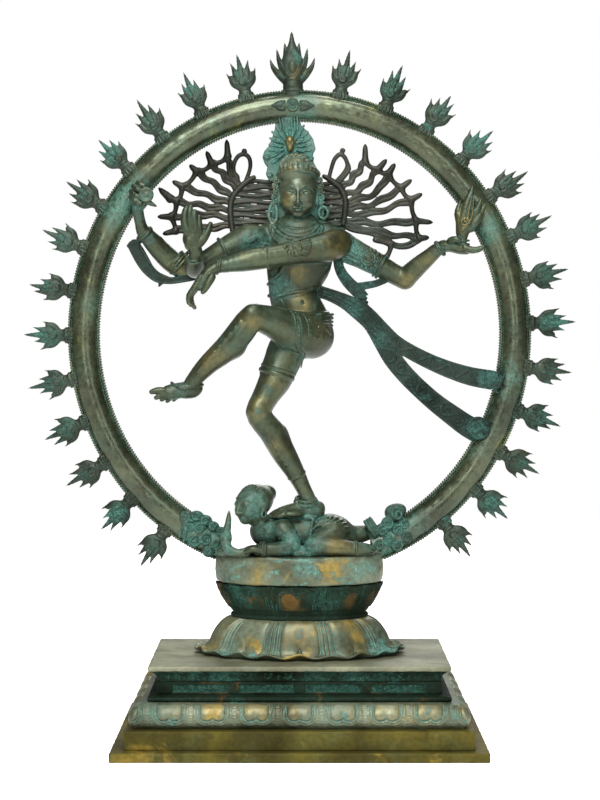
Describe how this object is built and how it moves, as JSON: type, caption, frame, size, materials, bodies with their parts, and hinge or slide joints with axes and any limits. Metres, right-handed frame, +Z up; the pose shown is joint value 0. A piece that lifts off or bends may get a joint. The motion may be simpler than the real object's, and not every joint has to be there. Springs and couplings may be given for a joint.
{
  "type": "nataraja statue",
  "caption": "Cast brass dancing figure with four arms inside an oval ring of flames, standing on a crouching dwarf, a lotus seat and a stepped plinth.",
  "frame": {"origin": "centre of the plinth's underside", "axes": "+Z up, -Y the front that the figure faces, +X towards the viewer's right"},
  "size_m": [0.7181, 0.307, 0.9137],
  "materials": {
    "patina_bronze": "dark olive-brown patina with verdigris in the recesses and rubbed highlights",
    "patina_hair": "matte grey-brown patina",
    "patina_plinth": "worn satin patina, ochre on the edges and grey-beige on the flat top",
    "bare_brass": "unpolished brass, hidden fastenings"
  },
  "bodies": {
    "root": {"arm_front_left": "patina_bronze", "arm_front_right": "patina_bronze", "arm_rear_left": "patina_bronze", "arm_rear_right": "patina_bronze", "base_tie_bolt": "bare_brass", "base_tie_nut": "bare_brass", "crown_fan": "patina_bronze", "damaru": "patina_bronze", "dwarf": "patina_bronze", "dwarf_cobra": "patina_bronze", "figure_foot_pin": "bare_brass", "flame_01": "patina_bronze", "flame_02": "patina_bronze", "flame_03": "patina_bronze", "flame_04": "patina_bronze", "flame_05": "patina_bronze", "flame_06": "patina_bronze", "flame_07": "patina_bronze", "flame_08": "patina_bronze", "flame_09": "patina_bronze", "flame_10": "patina_bronze", "flame_11": "patina_bronze", "flame_12": "patina_bronze", "flame_13": "patina_bronze", "flame_14": "patina_bronze", "flame_15": "patina_bronze", "flame_16": "patina_bronze", "flame_17": "patina_bronze", "flame_18": "patina_bronze", "flame_19": "patina_bronze", "flame_20": "patina_bronze", "flame_21": "patina_bronze", "flame_22": "patina_bronze", "flame_23": "patina_bronze", "flame_24": "patina_bronze", "flame_25": "patina_bronze", "flame_26": "patina_bronze", "flame_27": "patina_bronze", "hair_fan_left": "patina_hair", "hair_fan_right": "patina_hair", "hand_flame": "patina_bronze", "head": "patina_bronze", "leg_raised": "patina_bronze", "leg_standing": "patina_bronze", "lotus_drum": "patina_bronze", "lotus_lower": "patina_bronze", "lotus_upper": "patina_bronze", "plinth_bottom_slab": "patina_plinth", "plinth_dado": "patina_plinth", "plinth_petal_moulding": "patina_plinth", "plinth_step_block": "patina_plinth", "plinth_top_slab": "patina_plinth", "ring": "patina_bronze", "ring_foot_pins": "bare_brass", "sash_arm_left": "patina_bronze", "sash_arm_right": "patina_bronze", "sash_lower_tail": "patina_bronze", "sash_upper_tail": "patina_bronze", "torso": "patina_bronze"}
  },
  "joints": []
}
